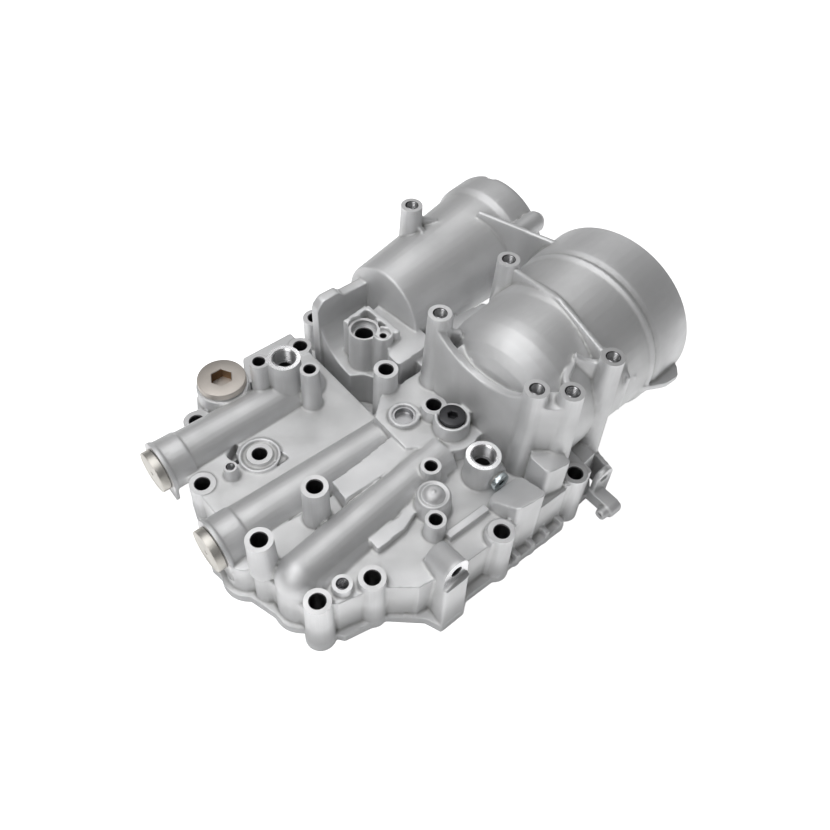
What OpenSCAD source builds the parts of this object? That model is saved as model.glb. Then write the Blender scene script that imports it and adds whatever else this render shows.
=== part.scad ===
// Oil filter housing: a die-cast aluminium module with two filter bowls lying on their sides,
// two valve galleries, bolt columns on several levels, threaded posts, ports, valves and plugs.
// X runs from the gallery plugs towards the bowls' mouths, Z up from the flange face.

/* [Layout] */
// Where the large bowl's step stands, along X
bowl_step_x = 201; // [198:1:204]
// Distance between the two bowls' axes
bowl_pitch = 133.7; // [132:0.1:135.5]
// Where the second gallery's mouth stands, behind the origin
gallery_mouth = 132; // [130:1:134]
// Distance between the two galleries' axes
gallery_pitch = 84; // [82:1:85]

/* [Base] */
// Thickness of the bolting flange
flange_t = 8; // [6:0.5:12]
// Wall of the casting over the oil chambers underneath
wall_t = 7; // [5:0.5:9]

/* [Levels] */
// Top of the cover plate between the galleries
plate_z = 40; // [38:1:44]
// Top of the front deck
deck_z = 48; // [44:1:50]
// Top of the raised deck beside the large bowl
upper_deck_z = 62; // [58:1:66]
// Top of the front bolt columns
front_z = 56; // [53:1:60]
// Top of the two slim columns beside the domed pad
mid_z = 68; // [65:1:72]
// Machined plane of the tall columns and the first port
machined_z = 82; // [78:1:88]
// Top of the threaded posts around the large bowl
post_z = 138; // [134:1:144]

/* [Bolt columns] */
// Clearance hole of the M10 bolts
bolt_d = 11; // [10.5:0.1:12]
// Outside of an M10 bolt column
column_d = 19.5; // [18:0.5:22]
// Clearance hole of the M8 bolts
small_bolt_d = 8.8; // [8.4:0.1:9.2]
// Outside of an M8 bolt column
small_column_d = 15.5; // [14:0.5:18]
// Outside of a threaded post
post_d = 18; // [16:0.5:20]
// Tapping hole of a threaded post
post_hole_d = 8.5; // [6.8:0.1:9]
// Depth of a threaded post's hole
post_hole_h = 22; // [16:1:30]

/* [Valve galleries] */
// Bore of the two valve galleries
gallery_d = 30; // [28:0.5:31]
// Wall of a gallery
gallery_wall = 4.2; // [3.8:0.1:5]
// Height of the galleries' axes
gallery_z = 38; // [37:0.5:40]
// Length of a gallery's full bore from its mouth
gallery_l = 96; // [92:1:100]
// Oil passage that goes on from the valve seat
passage_d = 20; // [16:0.5:22]
// Length of that oil passage
passage_l = 22; // [20:0.5:24]
// Length of the collar round a gallery's mouth
collar_l = 21; // [16:1:26]
// Head of a gallery's end plug
end_plug_d = 34.6; // [33.5:0.1:36]
// How far the end plug's head stands out
end_plug_head = 7; // [5:0.5:9]
// Length of the end plug inside the bore
end_plug_l = 16; // [14:0.5:20]
// Length of the pressed valve seat
seat_l = 6; // [4:0.5:8]
// Length of a valve piston
piston_l = 24; // [20:1:28]
// Wall of a valve piston
piston_wall = 3; // [2.5:0.1:4]
// Travel of a valve piston
valve_travel = 8; // [5:0.5:10]
// Radial running clearance of a valve piston
valve_clear = 0.05; // [0.02:0.01:0.09]
// Wire of the valve springs
spring_wire = 2.6; // [1.8:0.1:3]
// Turns of each valve spring
spring_turns = 7; // [5:1:9]

/* [Bowls] */
// Height of both bowls' axes
bowl_z = 75; // [74:0.5:78]
// Turn of the bowls' axes away from the galleries
bowl_turn = 6.5; // [5.5:0.5:7.5]
// Outside radius of the large bowl's body
big_r = 65; // [63:0.5:66]
// Outside radius of the large bowl's mouth
big_mouth_r = 74; // [72:0.5:76]
// Length of the large bowl's body, from its closed end to the step
big_body_l = 116; // [112:1:120]
// Length of the large bowl's mouth, from the step to the rim
big_mouth_l = 46; // [40:1:52]
// Wall of the large bowl
big_wall = 6; // [5:0.5:8]
// Outside radius of the small bowl's closed end
small_r = 38.5; // [37:0.5:40]
// Outside radius of the small bowl at its mouth
small_mouth_r = 52; // [50:0.5:54]
// Length of the small bowl
small_l = 150; // [144:1:156]
// Wall of the small bowl
small_wall = 5.5; // [4.5:0.5:7]
// Bore of the large bowl's outlet spigot
big_spigot_d = 26; // [22:1:30]
// Bore of the small bowl's outlet spigot
small_spigot_d = 18; // [14:1:20]
// Thickness of the ribs and webs
rib_t = 4.5; // [3.5:0.5:6]

/* [Plugs and ports] */
// Head of the large screw plug
large_plug_d = 39; // [37:0.5:41]
// Height of the large screw plug's head
large_plug_head = 6; // [5:0.5:8]
// Thread of the large screw plug
large_plug_thread = 27; // [24:0.5:28]
// Length of the large screw plug's thread
large_plug_l = 14; // [12:1:16]
// Key width of the large screw plug's socket
large_plug_key = 15.5; // [14:0.5:17]
// Head of the black screw plug
black_plug_d = 20.5; // [19:0.5:22]
// Height of the black screw plug's head
black_plug_head = 4; // [3:0.5:5]
// Thread of the black screw plug
black_plug_thread = 14; // [12:0.5:16]
// Length of the black screw plug's thread
black_plug_l = 14; // [10:1:15]
// Key width of the black screw plug's socket
black_plug_key = 7; // [6:0.5:8]
// Head of the small side plug
side_plug_d = 15; // [14:0.5:16]
// Thread of the small side plug
side_plug_thread = 10; // [8:0.5:10.5]
// Length of the small side plug's thread
side_plug_l = 6; // [5:0.5:6.5]
// Height of the small side plug's head
side_plug_head = 4; // [3:0.5:5]
// Key width of the small side plug's socket
side_plug_key = 5; // [4:0.5:6]
// Thickness of the plugs' sealing rings
seal_t = 1.5; // [1:0.1:2]
// Bore of the two threaded ports
port_d = 16.4; // [14.5:0.1:18]
// Depth of the ports' thread
port_l = 12; // [10:0.5:12.5]
// Outside of the two threaded ports
port_boss_d = 26.5; // [24.5:0.5:28]
// Pressed core plug in the end of the second gallery
core_plug_d = 18; // [16:0.5:20]
// Height of the core plug
core_plug_h = 7; // [5:0.5:8]
// Outside of the counterbored column beside the small bowl
block_column_d = 25; // [24:0.5:27]
// Counterbore of that column
counterbore_d = 20.5; // [18:0.5:21]
// Threaded hole in the milled pad
pad_hole_d = 8.5; // [6.8:0.1:9]
// Slotted hole in the ear at the right corner
ear_hole_d = 6; // [5:0.5:7]

/* [Hidden] */
$fn = 48;
corner_fn = 20;  // steps of a rounded corner in a flat outline
eps_in = 0.5;    // how far stacked forms run into each other
fit = 0.03;      // radial gap between a screwed or pressed piece and its bore
past = 1;        // how far a cut runs past a face
draft = 1.2;     // growth of a column's radius towards its foot
post_taper = 0.03;  // growth of a post's radius for each millimetre down

// Places of the galleries' mouths
bypass_at = [-gallery_mouth, -15.5];
relief_at = bypass_at + [4, gallery_pitch];
relief_end = 6;
bypass_end = 30;
gallery_foot_at = [-116, -32];

// Places of the bolt columns, each with its top level
m10_columns = [
    [-114.3, -54.4, machined_z], [-62.3, -45.3, machined_z + 4], [-103.9, -103.5, front_z],
    [-64.7, -112.8, front_z], [29.7, -142, front_z], [46.8, 11.4, machined_z],
    [110.6, -139.2, front_z - 3], [57.5, -34, upper_deck_z + 12]];
m10_plate_holes = [[-111, 34.8, plate_z + 1], [-62.8, 30, plate_z + 3], [28.8, 106.1, plate_z + 0.6],
    [-83, 90, plate_z], [59, 127, plate_z]];
m8_columns = [[21.3, -73.3, mid_z], [-6, -110, mid_z],
    [relief_at[0] + 101.5, relief_at[1] + 10.3, machined_z],
    [relief_at[0] + 128, relief_at[1] - 20.5, machined_z]];
stud_at = [-89.3, 27.6, plate_z + 12];
stud_d = 10.5;
stud_hole_d = 5;
tap_column_at = [-83, -103.2, front_z - 1];
tap_column_d = 14.5;
tap_hole_d = 6.8;

// The large bowl's step, and the places of the threaded posts seen from it
big_step = [bowl_step_x, -51];
post_from_step = [[-55.3, 152.4], [-120.1, 42.6], [-37.8, 54.7], [-51.2, -66.1], [-115.9, -53.5],
    [-98.2, -70.4]];
posts = [for (p = post_from_step) big_step + p];
post_feet = [60, upper_deck_z - 4, 60, flange_t, flange_t, flange_t];

// Places of the ports and plugs
port_a = relief_at + [118.9, 1.4];
port_b = [54.3, -93.8];
port_b_z = 75;
large_plug_at = relief_at + [77.3, 31];
large_plug_seat = plate_z + 14;
black_plug_at = [59.6, -53];
black_plug_seat = upper_deck_z + 11;
dome_at = [7, -93];
side_plug_at = [57.9, -107, 56.8];
notch_turn = -15;
core_plug_at = [37.8, -22.4];
core_plug_z = 66;
counterbore_at = [60, 56.3, machined_z];
lobe_at = [67.6, 41, machined_z];
pad_at = [-18.5, -147, 60];
ear_at = [143, -148, 27];
ear_r = 9.5;
plate_bolt_at = relief_at + [98, 24.5];

// The duct in front of the galleries: its two ends, its height, its two ridges and its bore
duct_a = [-100, -76];
duct_b = [44, -60];
duct_turn = atan2(duct_b[1] - duct_a[1], duct_b[0] - duct_a[0]);
duct_l = norm(duct_b - duct_a);
duct_z = 46;
duct_r = 17;
ridge_from_duct = [8, -9];
ridge_z = 42;
ridge_r = 13;
duct_bore_d = 18;

// A place told by its distance along and across the large bowl's axis, from its step
function in_bowl(along, across) = big_step
    + [along * cos(bowl_turn) - across * sin(bowl_turn), along * sin(bowl_turn) + across * cos(bowl_turn)];
big_start = in_bowl(-big_body_l, 0);
small_start = in_bowl(-95.5, bowl_pitch);

column_foot_r = column_d / 2 + draft + 3.05;
gallery_r = gallery_d / 2;
gallery_out_r = gallery_r + gallery_wall;
ledge_z = bowl_z - 13;
chamber_z = plate_z - wall_t;

// A flat outline with its outer corners rounded
module rounded(r) {
    offset(r = r, $fn = corner_fn) offset(r = -r, $fn = corner_fn) children();
}

// A column that widens a little towards its foot
module column(p, d, foot = 0) {
    translate([p[0], p[1], foot]) cylinder(r1 = d / 2 + draft, r2 = d / 2, h = p[2] - foot);
}

// Children stood at a place on the plan
module at(p) {
    translate([p[0], p[1], 0]) children();
}

// The solid of revolution that lies along a bowl's axis
module along_bowl(start) {
    translate([start[0], start[1], bowl_z]) rotate([0, 0, bowl_turn]) rotate([0, 90, 0]) children();
}

// A blind or through hole down from a machined face
module drilled(p, top, d, depth) {
    translate([p[0], p[1], top - depth]) cylinder(d = d, h = depth + past);
}

// A cylinder along +X from a point
module along_x(at, l, r1, r2) {
    translate(at) rotate([0, 90, 0]) cylinder(r1 = r1, r2 = r2, h = l);
}

// An upright wall between two points, with a top that may sag by a circular scoop
module wall(a, b, z0, z1, t = rib_t, scoop = 0) {
    span = norm(b - a);
    translate([a[0], a[1], 0]) rotate([0, 0, atan2(b[1] - a[1], b[0] - a[0])])
        rotate([90, 0, 0]) translate([0, 0, -t / 2]) linear_extrude(t) difference() {
            translate([0, z0]) square([span, z1 - z0]);
            if (scoop > 0) {
                r = (span * span / 4 + scoop * scoop) / (2 * scoop);
                translate([span / 2, z1 + r - scoop]) circle(r = r, $fn = 96);
            }
        }
}

// The flange seen from above: one outline with a round lobe at each outlying column
module flange_outline() {
    lobe_r = column_d / 2 + draft + 0.5;
    polygon([[-134, -30], [-118, -84], [-93, -117.5], [-61, -124], [-40, -143], [-35, -155.7],
        [-13, -155.5], [-5, -149.5], [97, -151.5], [104, -144.5], [118, -144.5], [137, -143],
        [152, -128], [156, 20], [120, 100], [68, 126], [-16, 126], [-58, 122], [-92, 96],
        [-119, 46], [-137, -12]]);
    translate(gallery_foot_at) circle(r = 21.5);
    translate(duct_a) circle(r = duct_r + 5);
    translate(large_plug_at) circle(r = large_plug_d / 2 + 4.5);
    for (i = [0, 2, 3, 4]) translate([m10_columns[i][0], m10_columns[i][1]]) circle(r = lobe_r);
    for (i = [3, 4]) translate([m10_plate_holes[i][0], m10_plate_holes[i][1]]) circle(r = lobe_r - 0.6);
}

module front_outline() {
    polygon([[-126, -20], [-110, -96], [-92, -111], [-64, -118], [-42, -136], [-5, -142],
        [96, -144], [118, -137], [140, -134], [146, -100], [146, -10], [31, 10], [-112, 10]]);
}

module deck_outline() {
    polygon([[-96, -82], [-97, -106], [-92, -111], [-64, -118], [-42, -136], [-5, -142], [96, -144],
        [118, -137], [140, -134], [146, -100], [100, -60], [30, -60]]);
}

module plate_outline() {
    rounded(3)
        polygon([[-117.4, 0], [-117.4, 45.5], [-92, 86], [-78, 97], [-70, 112], [-24, 113], [-17.5, 124.5],
            [31.5, 124.5], [31.5, 0]]);
}

module base() {
    linear_extrude(flange_t) flange_outline();
    translate([0, 0, flange_t - eps_in]) {
        linear_extrude(plate_z - 2 - flange_t + eps_in) front_outline();
        linear_extrude(deck_z - flange_t + eps_in) deck_outline();
        linear_extrude(plate_z - flange_t + eps_in) plate_outline();
    }
}

// Raised deck beside the large bowl, with the flat strip between the duct and the second gallery
module upper_deck() {
    linear_extrude(upper_deck_z) {
        polygon([[20, -46], [20, -8], [36, 5], [88, 7], [88, -70], [60, -74]]);
        translate(black_plug_at) circle(r = 22);
        translate(core_plug_at) circle(r = 16);
    }
    translate([0, 0, 20]) linear_extrude(upper_deck_z - 22)
        polygon([[-43, -54], [-41, -35], [-12, -33], [30, -28], [30, -52]]);
}

// Filled valley between the second gallery and the duct
module valley() {
    linear_extrude(deck_z - 3)
        polygon([[-117, -44], [-115, -62], [-100, -66], [-38, -57.5], [-38, -36.5], [-100, -34],
            [-112, -40]]);
}

// One valve gallery: a round tube with a thicker collar and a thin end flange at its mouth
module gallery(mouth, end) {
    x = mouth[0];
    y = mouth[1];
    z = gallery_z;
    lip_t = 3;
    along_x([x, y, z], end - x, gallery_out_r + 0.3, gallery_out_r - 1.6);
    along_x([x, y, z], collar_l, gallery_out_r + 1.6, gallery_out_r + 1.2);
    along_x([x, y, z], lip_t, gallery_out_r + 2.8, gallery_out_r + 2.8);
    translate([x, y, z]) rotate([0, 90, 0]) linear_extrude(lip_t)
        polygon([[4, -gallery_out_r - 2], [gallery_out_r + 6, -gallery_out_r + 2],
            [gallery_out_r + 2, -4], [0, 0]]);
    translate([end, y, z]) sphere(r = gallery_out_r - 1.3);
}

module gallery_bore(mouth) {
    along_x([mouth[0] - past, mouth[1], gallery_z], gallery_l + past, gallery_r, gallery_r);
    along_x([mouth[0] + gallery_l - past, mouth[1], gallery_z], passage_l + past,
        passage_d / 2, passage_d / 2);
}

// Pillar under the mouth of the second gallery
module gallery_foot() {
    at(gallery_foot_at) cylinder(r1 = 17.5, r2 = 16, h = gallery_z);
}

// Twin-ridged duct that rises from the front foot and runs back to the black plug
module duct() {
    at(duct_a) {
        cylinder(r1 = duct_r + 1.5, r2 = duct_r, h = duct_z);
        translate([0, 0, duct_z]) sphere(r = duct_r + 0.4);
        translate([0, 0, duct_z]) rotate([0, 0, duct_turn]) rotate([0, 90, 0])
            cylinder(r1 = duct_r, r2 = duct_r + 1, h = duct_l);
    }
    at(duct_a + ridge_from_duct) {
        cylinder(r1 = ridge_r + 1, r2 = ridge_r, h = ridge_z);
        translate([0, 0, ridge_z]) sphere(r = ridge_r + 0.4);
        translate([0, 0, ridge_z]) rotate([0, 0, duct_turn + 1]) rotate([0, 90, 0])
            cylinder(r1 = ridge_r, r2 = ridge_r + 1, h = duct_l - 20);
    }
}

// Outer form of the large bowl: a domed end, a plain body, a flared step and the mouth
module big_form() {
    l = big_body_l;
    flat_r = 34;
    dome_l = 36;
    dome = [for (t = [0:15:90]) [flat_r + (big_r - flat_r) * sin(t), dome_l * (1 - cos(t))]];
    rotate_extrude($fn = 96) polygon(concat([[0, 0]], dome, [[big_r, l - 50], [big_r + 1, l - 47],
        [big_mouth_r - 4, l - 2], [big_mouth_r - 2, l], [big_mouth_r - 1.5, l + 1.5],
        [big_mouth_r - 3, l + 4], [big_mouth_r - 1, l + 9], [big_mouth_r, l + big_mouth_l],
        [0, l + big_mouth_l]]));
}

// Inside of the large bowl, around the outlet spigot that stands on its closed end
module big_hollow() {
    l = big_body_l;
    r = big_r - big_wall;
    mouth = big_mouth_r - big_wall;
    rim = l + big_mouth_l;
    rotate_extrude($fn = 96) polygon([[big_spigot_d / 2 + 5, 12], [r - 28, 12], [r - 5, 28], [r, 42],
        [r, l - 8],
        [mouth - 2, l + 3], [mouth + 0.5, rim - 14], [mouth + 2, rim - 12], [mouth + 2, rim + past],
        [0, rim + past], [0, 34], [big_spigot_d / 2 + 5, 34]]);
    translate([0, 0, 6]) cylinder(d = big_spigot_d, h = 30);
}

module small_form() {
    l = small_l;
    rotate_extrude($fn = 96) polygon([[0, 0], [small_r, 0], [small_r + 0.7, 1.5],
        [small_mouth_r - 3, l - 30], [small_mouth_r + 0.5, l - 25], [small_mouth_r + 1, l - 2.5],
        [small_mouth_r - 0.5, l], [0, l]]);
}

module small_hollow() {
    l = small_l;
    r = small_r - small_wall;
    mouth = small_mouth_r - small_wall;
    rotate_extrude($fn = 96) polygon([[small_spigot_d / 2 + 4, 9], [r - 3, 9], [r + 0.8, 15],
        [mouth - 3, l - 28], [mouth + 0.5, l - 24], [mouth + 0.5, l + past], [0, l + past], [0, 27],
        [small_spigot_d / 2 + 4, 27]]);
    translate([0, 0, 5]) cylinder(d = small_spigot_d, h = 24);
}

// Box of walls that carries the large bowl
module big_cradle() at(big_step) {
    linear_extrude(bowl_z - 8) rounded(4)
        polygon([[-121, 65], [-121, -57], [-103, -75], [-89, -77], [-65, -49], [-43, -73], [-29, -53],
            [-29, 81], [-81, 85]]);
    foot_z = deck_z - 3.3;
    a = post_from_step[1];
    b = post_from_step[4];
    c = post_from_step[5];
    bend = [-83, -53];
    corner = [-67, -45];
    out = [-5, 0];
    wall(a + out, b + out, foot_z, post_z - 2, 6.5, 22);
    translate([4.5, 0, 0]) wall(a + [0, -18], b + [0, 8], foot_z, post_z - 23, 14, 5);
    wall(b, c, foot_z, post_z - 5, post_d - 1, 6);
    wall(c, bend, foot_z, post_z - 10, 5);
    wall(bend, corner, foot_z, post_z - 10, 5);
    wall(corner, post_from_step[3], foot_z, post_z - 4, 5, 4);
}

// A gusset from a post: full height at the first point, sloping down to the second
module gusset(a, b, z0, za, zb, t = rib_t) {
    span = norm(b - a);
    translate([a[0], a[1], 0]) rotate([0, 0, atan2(b[1] - a[1], b[0] - a[0])])
        rotate([90, 0, 0]) translate([0, 0, -t / 2]) linear_extrude(t)
            polygon([[0, z0], [0, za], [span, zb], [span, z0]]);
}

// Ribs and webs that stand between the posts and the bowls
module ribs() at(big_step) {
    p = post_from_step;
    low = bowl_z + 15;
    crest = (p[2] + p[3]) / 2 + [1, 0];
    gusset(p[2], crest, bowl_z, post_z - 5, post_z + 6);
    gusset(p[3], crest, bowl_z, post_z - 4, post_z + 6);
    gusset(p[2], [-53, 52], bowl_z + 9, post_z - 4, bowl_z + 29);
    gusset(p[2], [-20, 61], low, post_z - 5, bowl_z + 49);
    gusset(p[2], [-15, 77], bowl_z - 5, post_z - 8, bowl_z + 43);
    gusset(p[0], [-52, 135], low, post_z - 8, bowl_z + 41);
    gusset(p[0], [-35, 143], low, post_z - 10, bowl_z + 45);
    gusset(p[1], [-103, 47], low, post_z - 8, post_z - 14);
    gusset(p[1], [-107, 31], low, post_z - 14, post_z - 18);
    gusset(p[3], [-37, -49], bowl_z + 5, post_z - 4, bowl_z + 49);
    // Web between the bowls, and two fins on the ledge under the mouth
    gusset([-5, 123], [26, 39], bowl_z - 15, bowl_z + 52, bowl_z + 50);
    gusset([-25, -71], [-19, -49], ledge_z, bowl_z + 25, bowl_z + 41, rib_t - 1);
    gusset([-13, -69], [-7, -47], ledge_z, bowl_z + 17, bowl_z + 37, rib_t - 1);
}

// Block at the closed end of the small bowl: a tall side wall with a scooped floor, and the
// counterbored column with its lobe
module bowl_block() {
    translate([0, 98, 0]) rotate([90, 0, 0]) linear_extrude(9) rounded(5)
        polygon([[38, 4], [38, 90], [44, 97], [60, 98], [64, 93], [110, 92], [120, 60], [120, 4]]);
    translate([40, 0, 0]) rotate([90, 0, 90]) linear_extrude(60) difference() {
        translate([54, 4]) square([38, 76]);
        translate([54, 80]) circle(r = 36, $fn = 96);
    }
    linear_extrude(44) polygon([[40, 50], [40, 96], [140, 96], [140, 24], [62, 24], [50, 44]]);
    linear_extrude(76) rounded(3)
        polygon([[61, 12], [61, 26], [68, 36], [60, 70], [74, 74], [100, 76], [100, 20], [88, 14]]);
    column(counterbore_at, block_column_d, flange_t);
    column(lobe_at, block_column_d - 8, flange_t);
    wall([51, 70], [76, 73], plate_z, machined_z + 3, rib_t);
    wall([76, 73], [78, 34], plate_z, machined_z + 3, rib_t);
}

// Pointed block with the milled face at the lower right
module milled_block() {
    boss_r = 10.5;
    hull() {
        linear_extrude(1) polygon([[-35, -155.7], [-13, -155.5], [-3, -130], [-32, -130]]);
        translate(pad_at + [0, 2, 0]) rotate([90, 0, 0]) cylinder(r = boss_r, h = 4);
        translate([pad_at[0] + 3, -122, pad_at[2] - 10]) rotate([90, 0, 0]) cylinder(r = boss_r, h = 1);
    }
}

// Rounded bulges in the side below the large bowl
module side_bulges() {
    top = front_z + 16;
    difference() {
        translate([0, 0, 4]) linear_extrude(top - 4) rounded(5)
            polygon([[38, -116], [44, -142], [70, -146], [73, -116]]);
        translate([30, -146, top]) rotate([-25, 0, 0]) cube([50, 45, 30]);
        at(m10_columns[4]) translate([0, 0, front_z - 1.2]) cylinder(r = column_d / 2 + 3.4, h = 40);
    }
    translate([0, 0, 4]) linear_extrude(76) rounded(4)
        polygon([[77, -116], [77, -137], [98, -141], [101, -116]]);
    translate([0, 0, 4]) linear_extrude(front_z - 9) rounded(3)
        polygon([[96, -118], [98, -144], [124, -146], [126, -118]]);
    for (x = [44, 60, 76, 92]) translate([x, -151.5, 0]) cube([rib_t, 10, 15]);
    at(m10_columns[4]) translate([0, 0, flange_t]) difference() {
        cylinder(r = column_d / 2 + 2.4, h = front_z - flange_t - 0.8);
        translate([-20, -40, -past]) cube([40, 37, front_z + 2 * past]);
    }
}

// Ledge under the large bowl's mouth
module mouth_ledge() at(big_step) {
    m = big_mouth_l;
    translate([0, 0, ledge_z]) linear_extrude(6) rounded(4)
        polygon([[-41, -49], [-41, -71], [-5, -66], [m - 23, -79], [m - 9, -80], [m - 1, -73], [m + 4, -61],
            [m - 7, -39]]);
}

// Slotted ear at the far right corner, and the arm with a small drilled boss below it
module ears() {
    foot_z = 3;
    translate([0, ear_at[1] + 5, 0]) rotate([90, 0, 0]) linear_extrude(5) difference() {
        union() {
            translate([ear_at[0], ear_at[2]]) circle(r = ear_r);
            translate([ear_at[0] - ear_r, foot_z]) square([2 * ear_r, ear_at[2] - foot_z]);
        }
        translate([ear_at[0] - 2, ear_at[2]]) circle(d = ear_hole_d);
        translate([ear_at[0] + 2, ear_at[2]]) circle(d = ear_hole_d);
        translate([ear_at[0] - 2, ear_at[2] - ear_hole_d / 2]) square([4, ear_hole_d]);
    }
    wall([ear_at[0] + 6, ear_at[1] + 2], [ear_at[0] + 10, ear_at[1] + 24], foot_z, ear_at[2] + 6);
    translate([ear_at[0] - 12, ear_at[1] - 17, 4]) cube([12, 22, 12]);
    translate([ear_at[0] - 12, ear_at[1] - 17, 10]) rotate([0, 90, 0]) cylinder(r = 6, h = 12);
    translate([ear_at[0] - 19, ear_at[1] - 16, 10]) rotate([0, 90, 0]) difference() {
        cylinder(r = 4.8, h = 8);
        translate([0, 0, -past]) cylinder(r = 1.8, h = 6 + past);
    }
}

// Bulges of the two oil passages along the small bowl's mouth, clear of its hollow
module side_pipe() {
    from_rim = small_l - 35;
    along_bowl(small_start) {
        translate([-38.5, -43.5, from_rim]) rotate_extrude()
            polygon([[0, 0], [9.5, 0], [9.5, 29], [6, 34], [0, 34]]);
        translate([-15, -56, from_rim]) rotate_extrude()
            polygon([[0, 0], [7.5, 0], [7.5, 28], [4.5, 32], [0, 32]]);
    }
}

// Machined seats and bosses for the plugs and ports
module plug_bosses() {
    at(large_plug_at) cylinder(r1 = large_plug_d / 2 + 3.4, r2 = large_plug_d / 2 + 1.6, h = large_plug_seat);
    at(black_plug_at) cylinder(d1 = black_plug_d + 10.5, d2 = black_plug_d + 7.5, h = black_plug_seat + 3);
    at(port_a) cylinder(d1 = port_boss_d + 3, d2 = port_boss_d, h = machined_z);
    at(port_b) cylinder(d1 = port_boss_d + 4, d2 = port_boss_d, h = port_b_z);
    at(core_plug_at) cylinder(d1 = core_plug_d + 12, d2 = core_plug_d + 7, h = core_plug_z);
    translate([side_plug_at[0], side_plug_at[1] + 22, side_plug_at[2]]) rotate([90, 0, 0])
        cylinder(d1 = side_plug_d + 9, d2 = side_plug_d + 5, h = 22);
    z = mid_z - 1;
    at(dome_at) rotate_extrude()
        polygon([[0, 0], [14.5, 0], [13.4, z - 3], [12.6, z - 0.8], [10.5, z], [8.6, z],
            [8.2, z + 1.5], [6.6, z + 3.4], [3.6, z + 4.6], [0, z + 5]]);
}

// Small forms on the cover plate: rings, a threaded stud boss, the raised bar on the deck
module plate_details() {
    column(m10_plate_holes[0], column_d + 0.5, 0);
    column(m10_plate_holes[1], column_d + 0.5, flange_t);
    column(m10_plate_holes[2], column_d - 0.5, flange_t);
    for (i = [3, 4]) at(m10_plate_holes[i]) cylinder(d = column_d + 1.2, h = m10_plate_holes[i][2]);
    at(m10_plate_holes[1]) translate([0, 0, plate_z - 1]) difference() {
        cylinder(r = column_foot_r + 2.5, h = 3.2);
        translate([0, 0, -past]) cylinder(r = column_foot_r, h = 6);
    }
    column(stud_at, stud_d, plate_z - 4);
    column(tap_column_at, tap_column_d, 0);
    translate([0, 0, deck_z - 3]) linear_extrude(9) rounded(2)
        polygon([[-47, -85], [-48, -98], [-21, -96], [8, -84], [8, -78], [-20, -86]]);
    wall([-1, -119], [37, -119], deck_z - 4, deck_z + 5, 6);
}

module housing_solid() {
    base();
    upper_deck();
    valley();
    gallery(relief_at, relief_end);
    gallery(bypass_at, bypass_end);
    gallery_foot();
    duct();
    neck = m10_columns[0];
    column(neck, column_d, deck_z - 5);
    column([neck[0], neck[1], deck_z - 4], column_d - 2.5);
    for (i = [1:len(m10_columns) - 1]) column(m10_columns[i], column_d);
    for (p = m8_columns) column(p, small_column_d);
    for (i = [0:len(posts) - 1])
        translate([posts[i][0], posts[i][1], post_feet[i]])
            cylinder(r1 = post_d / 2 + (post_z - post_feet[i]) * post_taper, r2 = post_d / 2,
                h = post_z - post_feet[i]);
    plug_bosses();
    plate_details();
    along_bowl(big_start) big_form();
    along_bowl(small_start) small_form();
    big_cradle();
    ribs();
    bowl_block();
    milled_block();
    side_bulges();
    mouth_ledge();
    ears();
    side_pipe();
}

// Oil chambers that open on the flange face, clear of the galleries, the bowls and every column
module chambers() {
    translate([0, 0, -past]) linear_extrude(chamber_z + past) difference() {
        union() {
            polygon([[-78, -58], [-78, -98], [-58, -104], [-36, -126], [-8, -136], [60, -136],
                [60, -40], [-66, -40]]);
            polygon([[-104, 8], [-104, 40], [-96, 46], [22, 46], [22, 8]]);
            polygon([[47, 56], [47, 90], [100, 90], [100, 30], [68, 30], [56, 48]]);
        }
        for (p = concat(m10_columns, m8_columns, m10_plate_holes))
            translate([p[0], p[1]]) circle(r = column_foot_r);
    }
    translate([0, 0, -past]) linear_extrude(deck_z + 2 + past)
        polygon([[92, 6], [116, 18], [144, 18], [144, 6]]);
}

// Oil ports that lead from the flange face up into the galleries and the duct
module oil_ports() {
    from_seat = 10;
    from_plug = 44;
    for (p = [relief_at, bypass_at]) {
        translate([p[0] + gallery_l + from_seat, p[1], -past])
            cylinder(d = passage_d - 6, h = gallery_z + past);
        translate([p[0] + from_plug, p[1], -past]) cylinder(d = passage_d - 8, h = gallery_z + past);
    }
    translate([duct_a[0], duct_a[1], -past]) cylinder(d = duct_bore_d + 2, h = duct_z + past);
    translate([duct_a[0], duct_a[1], duct_z + 1]) rotate([0, 0, duct_turn]) rotate([0, 90, 0])
        cylinder(d = duct_bore_d, h = duct_l - 5);
}

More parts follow.
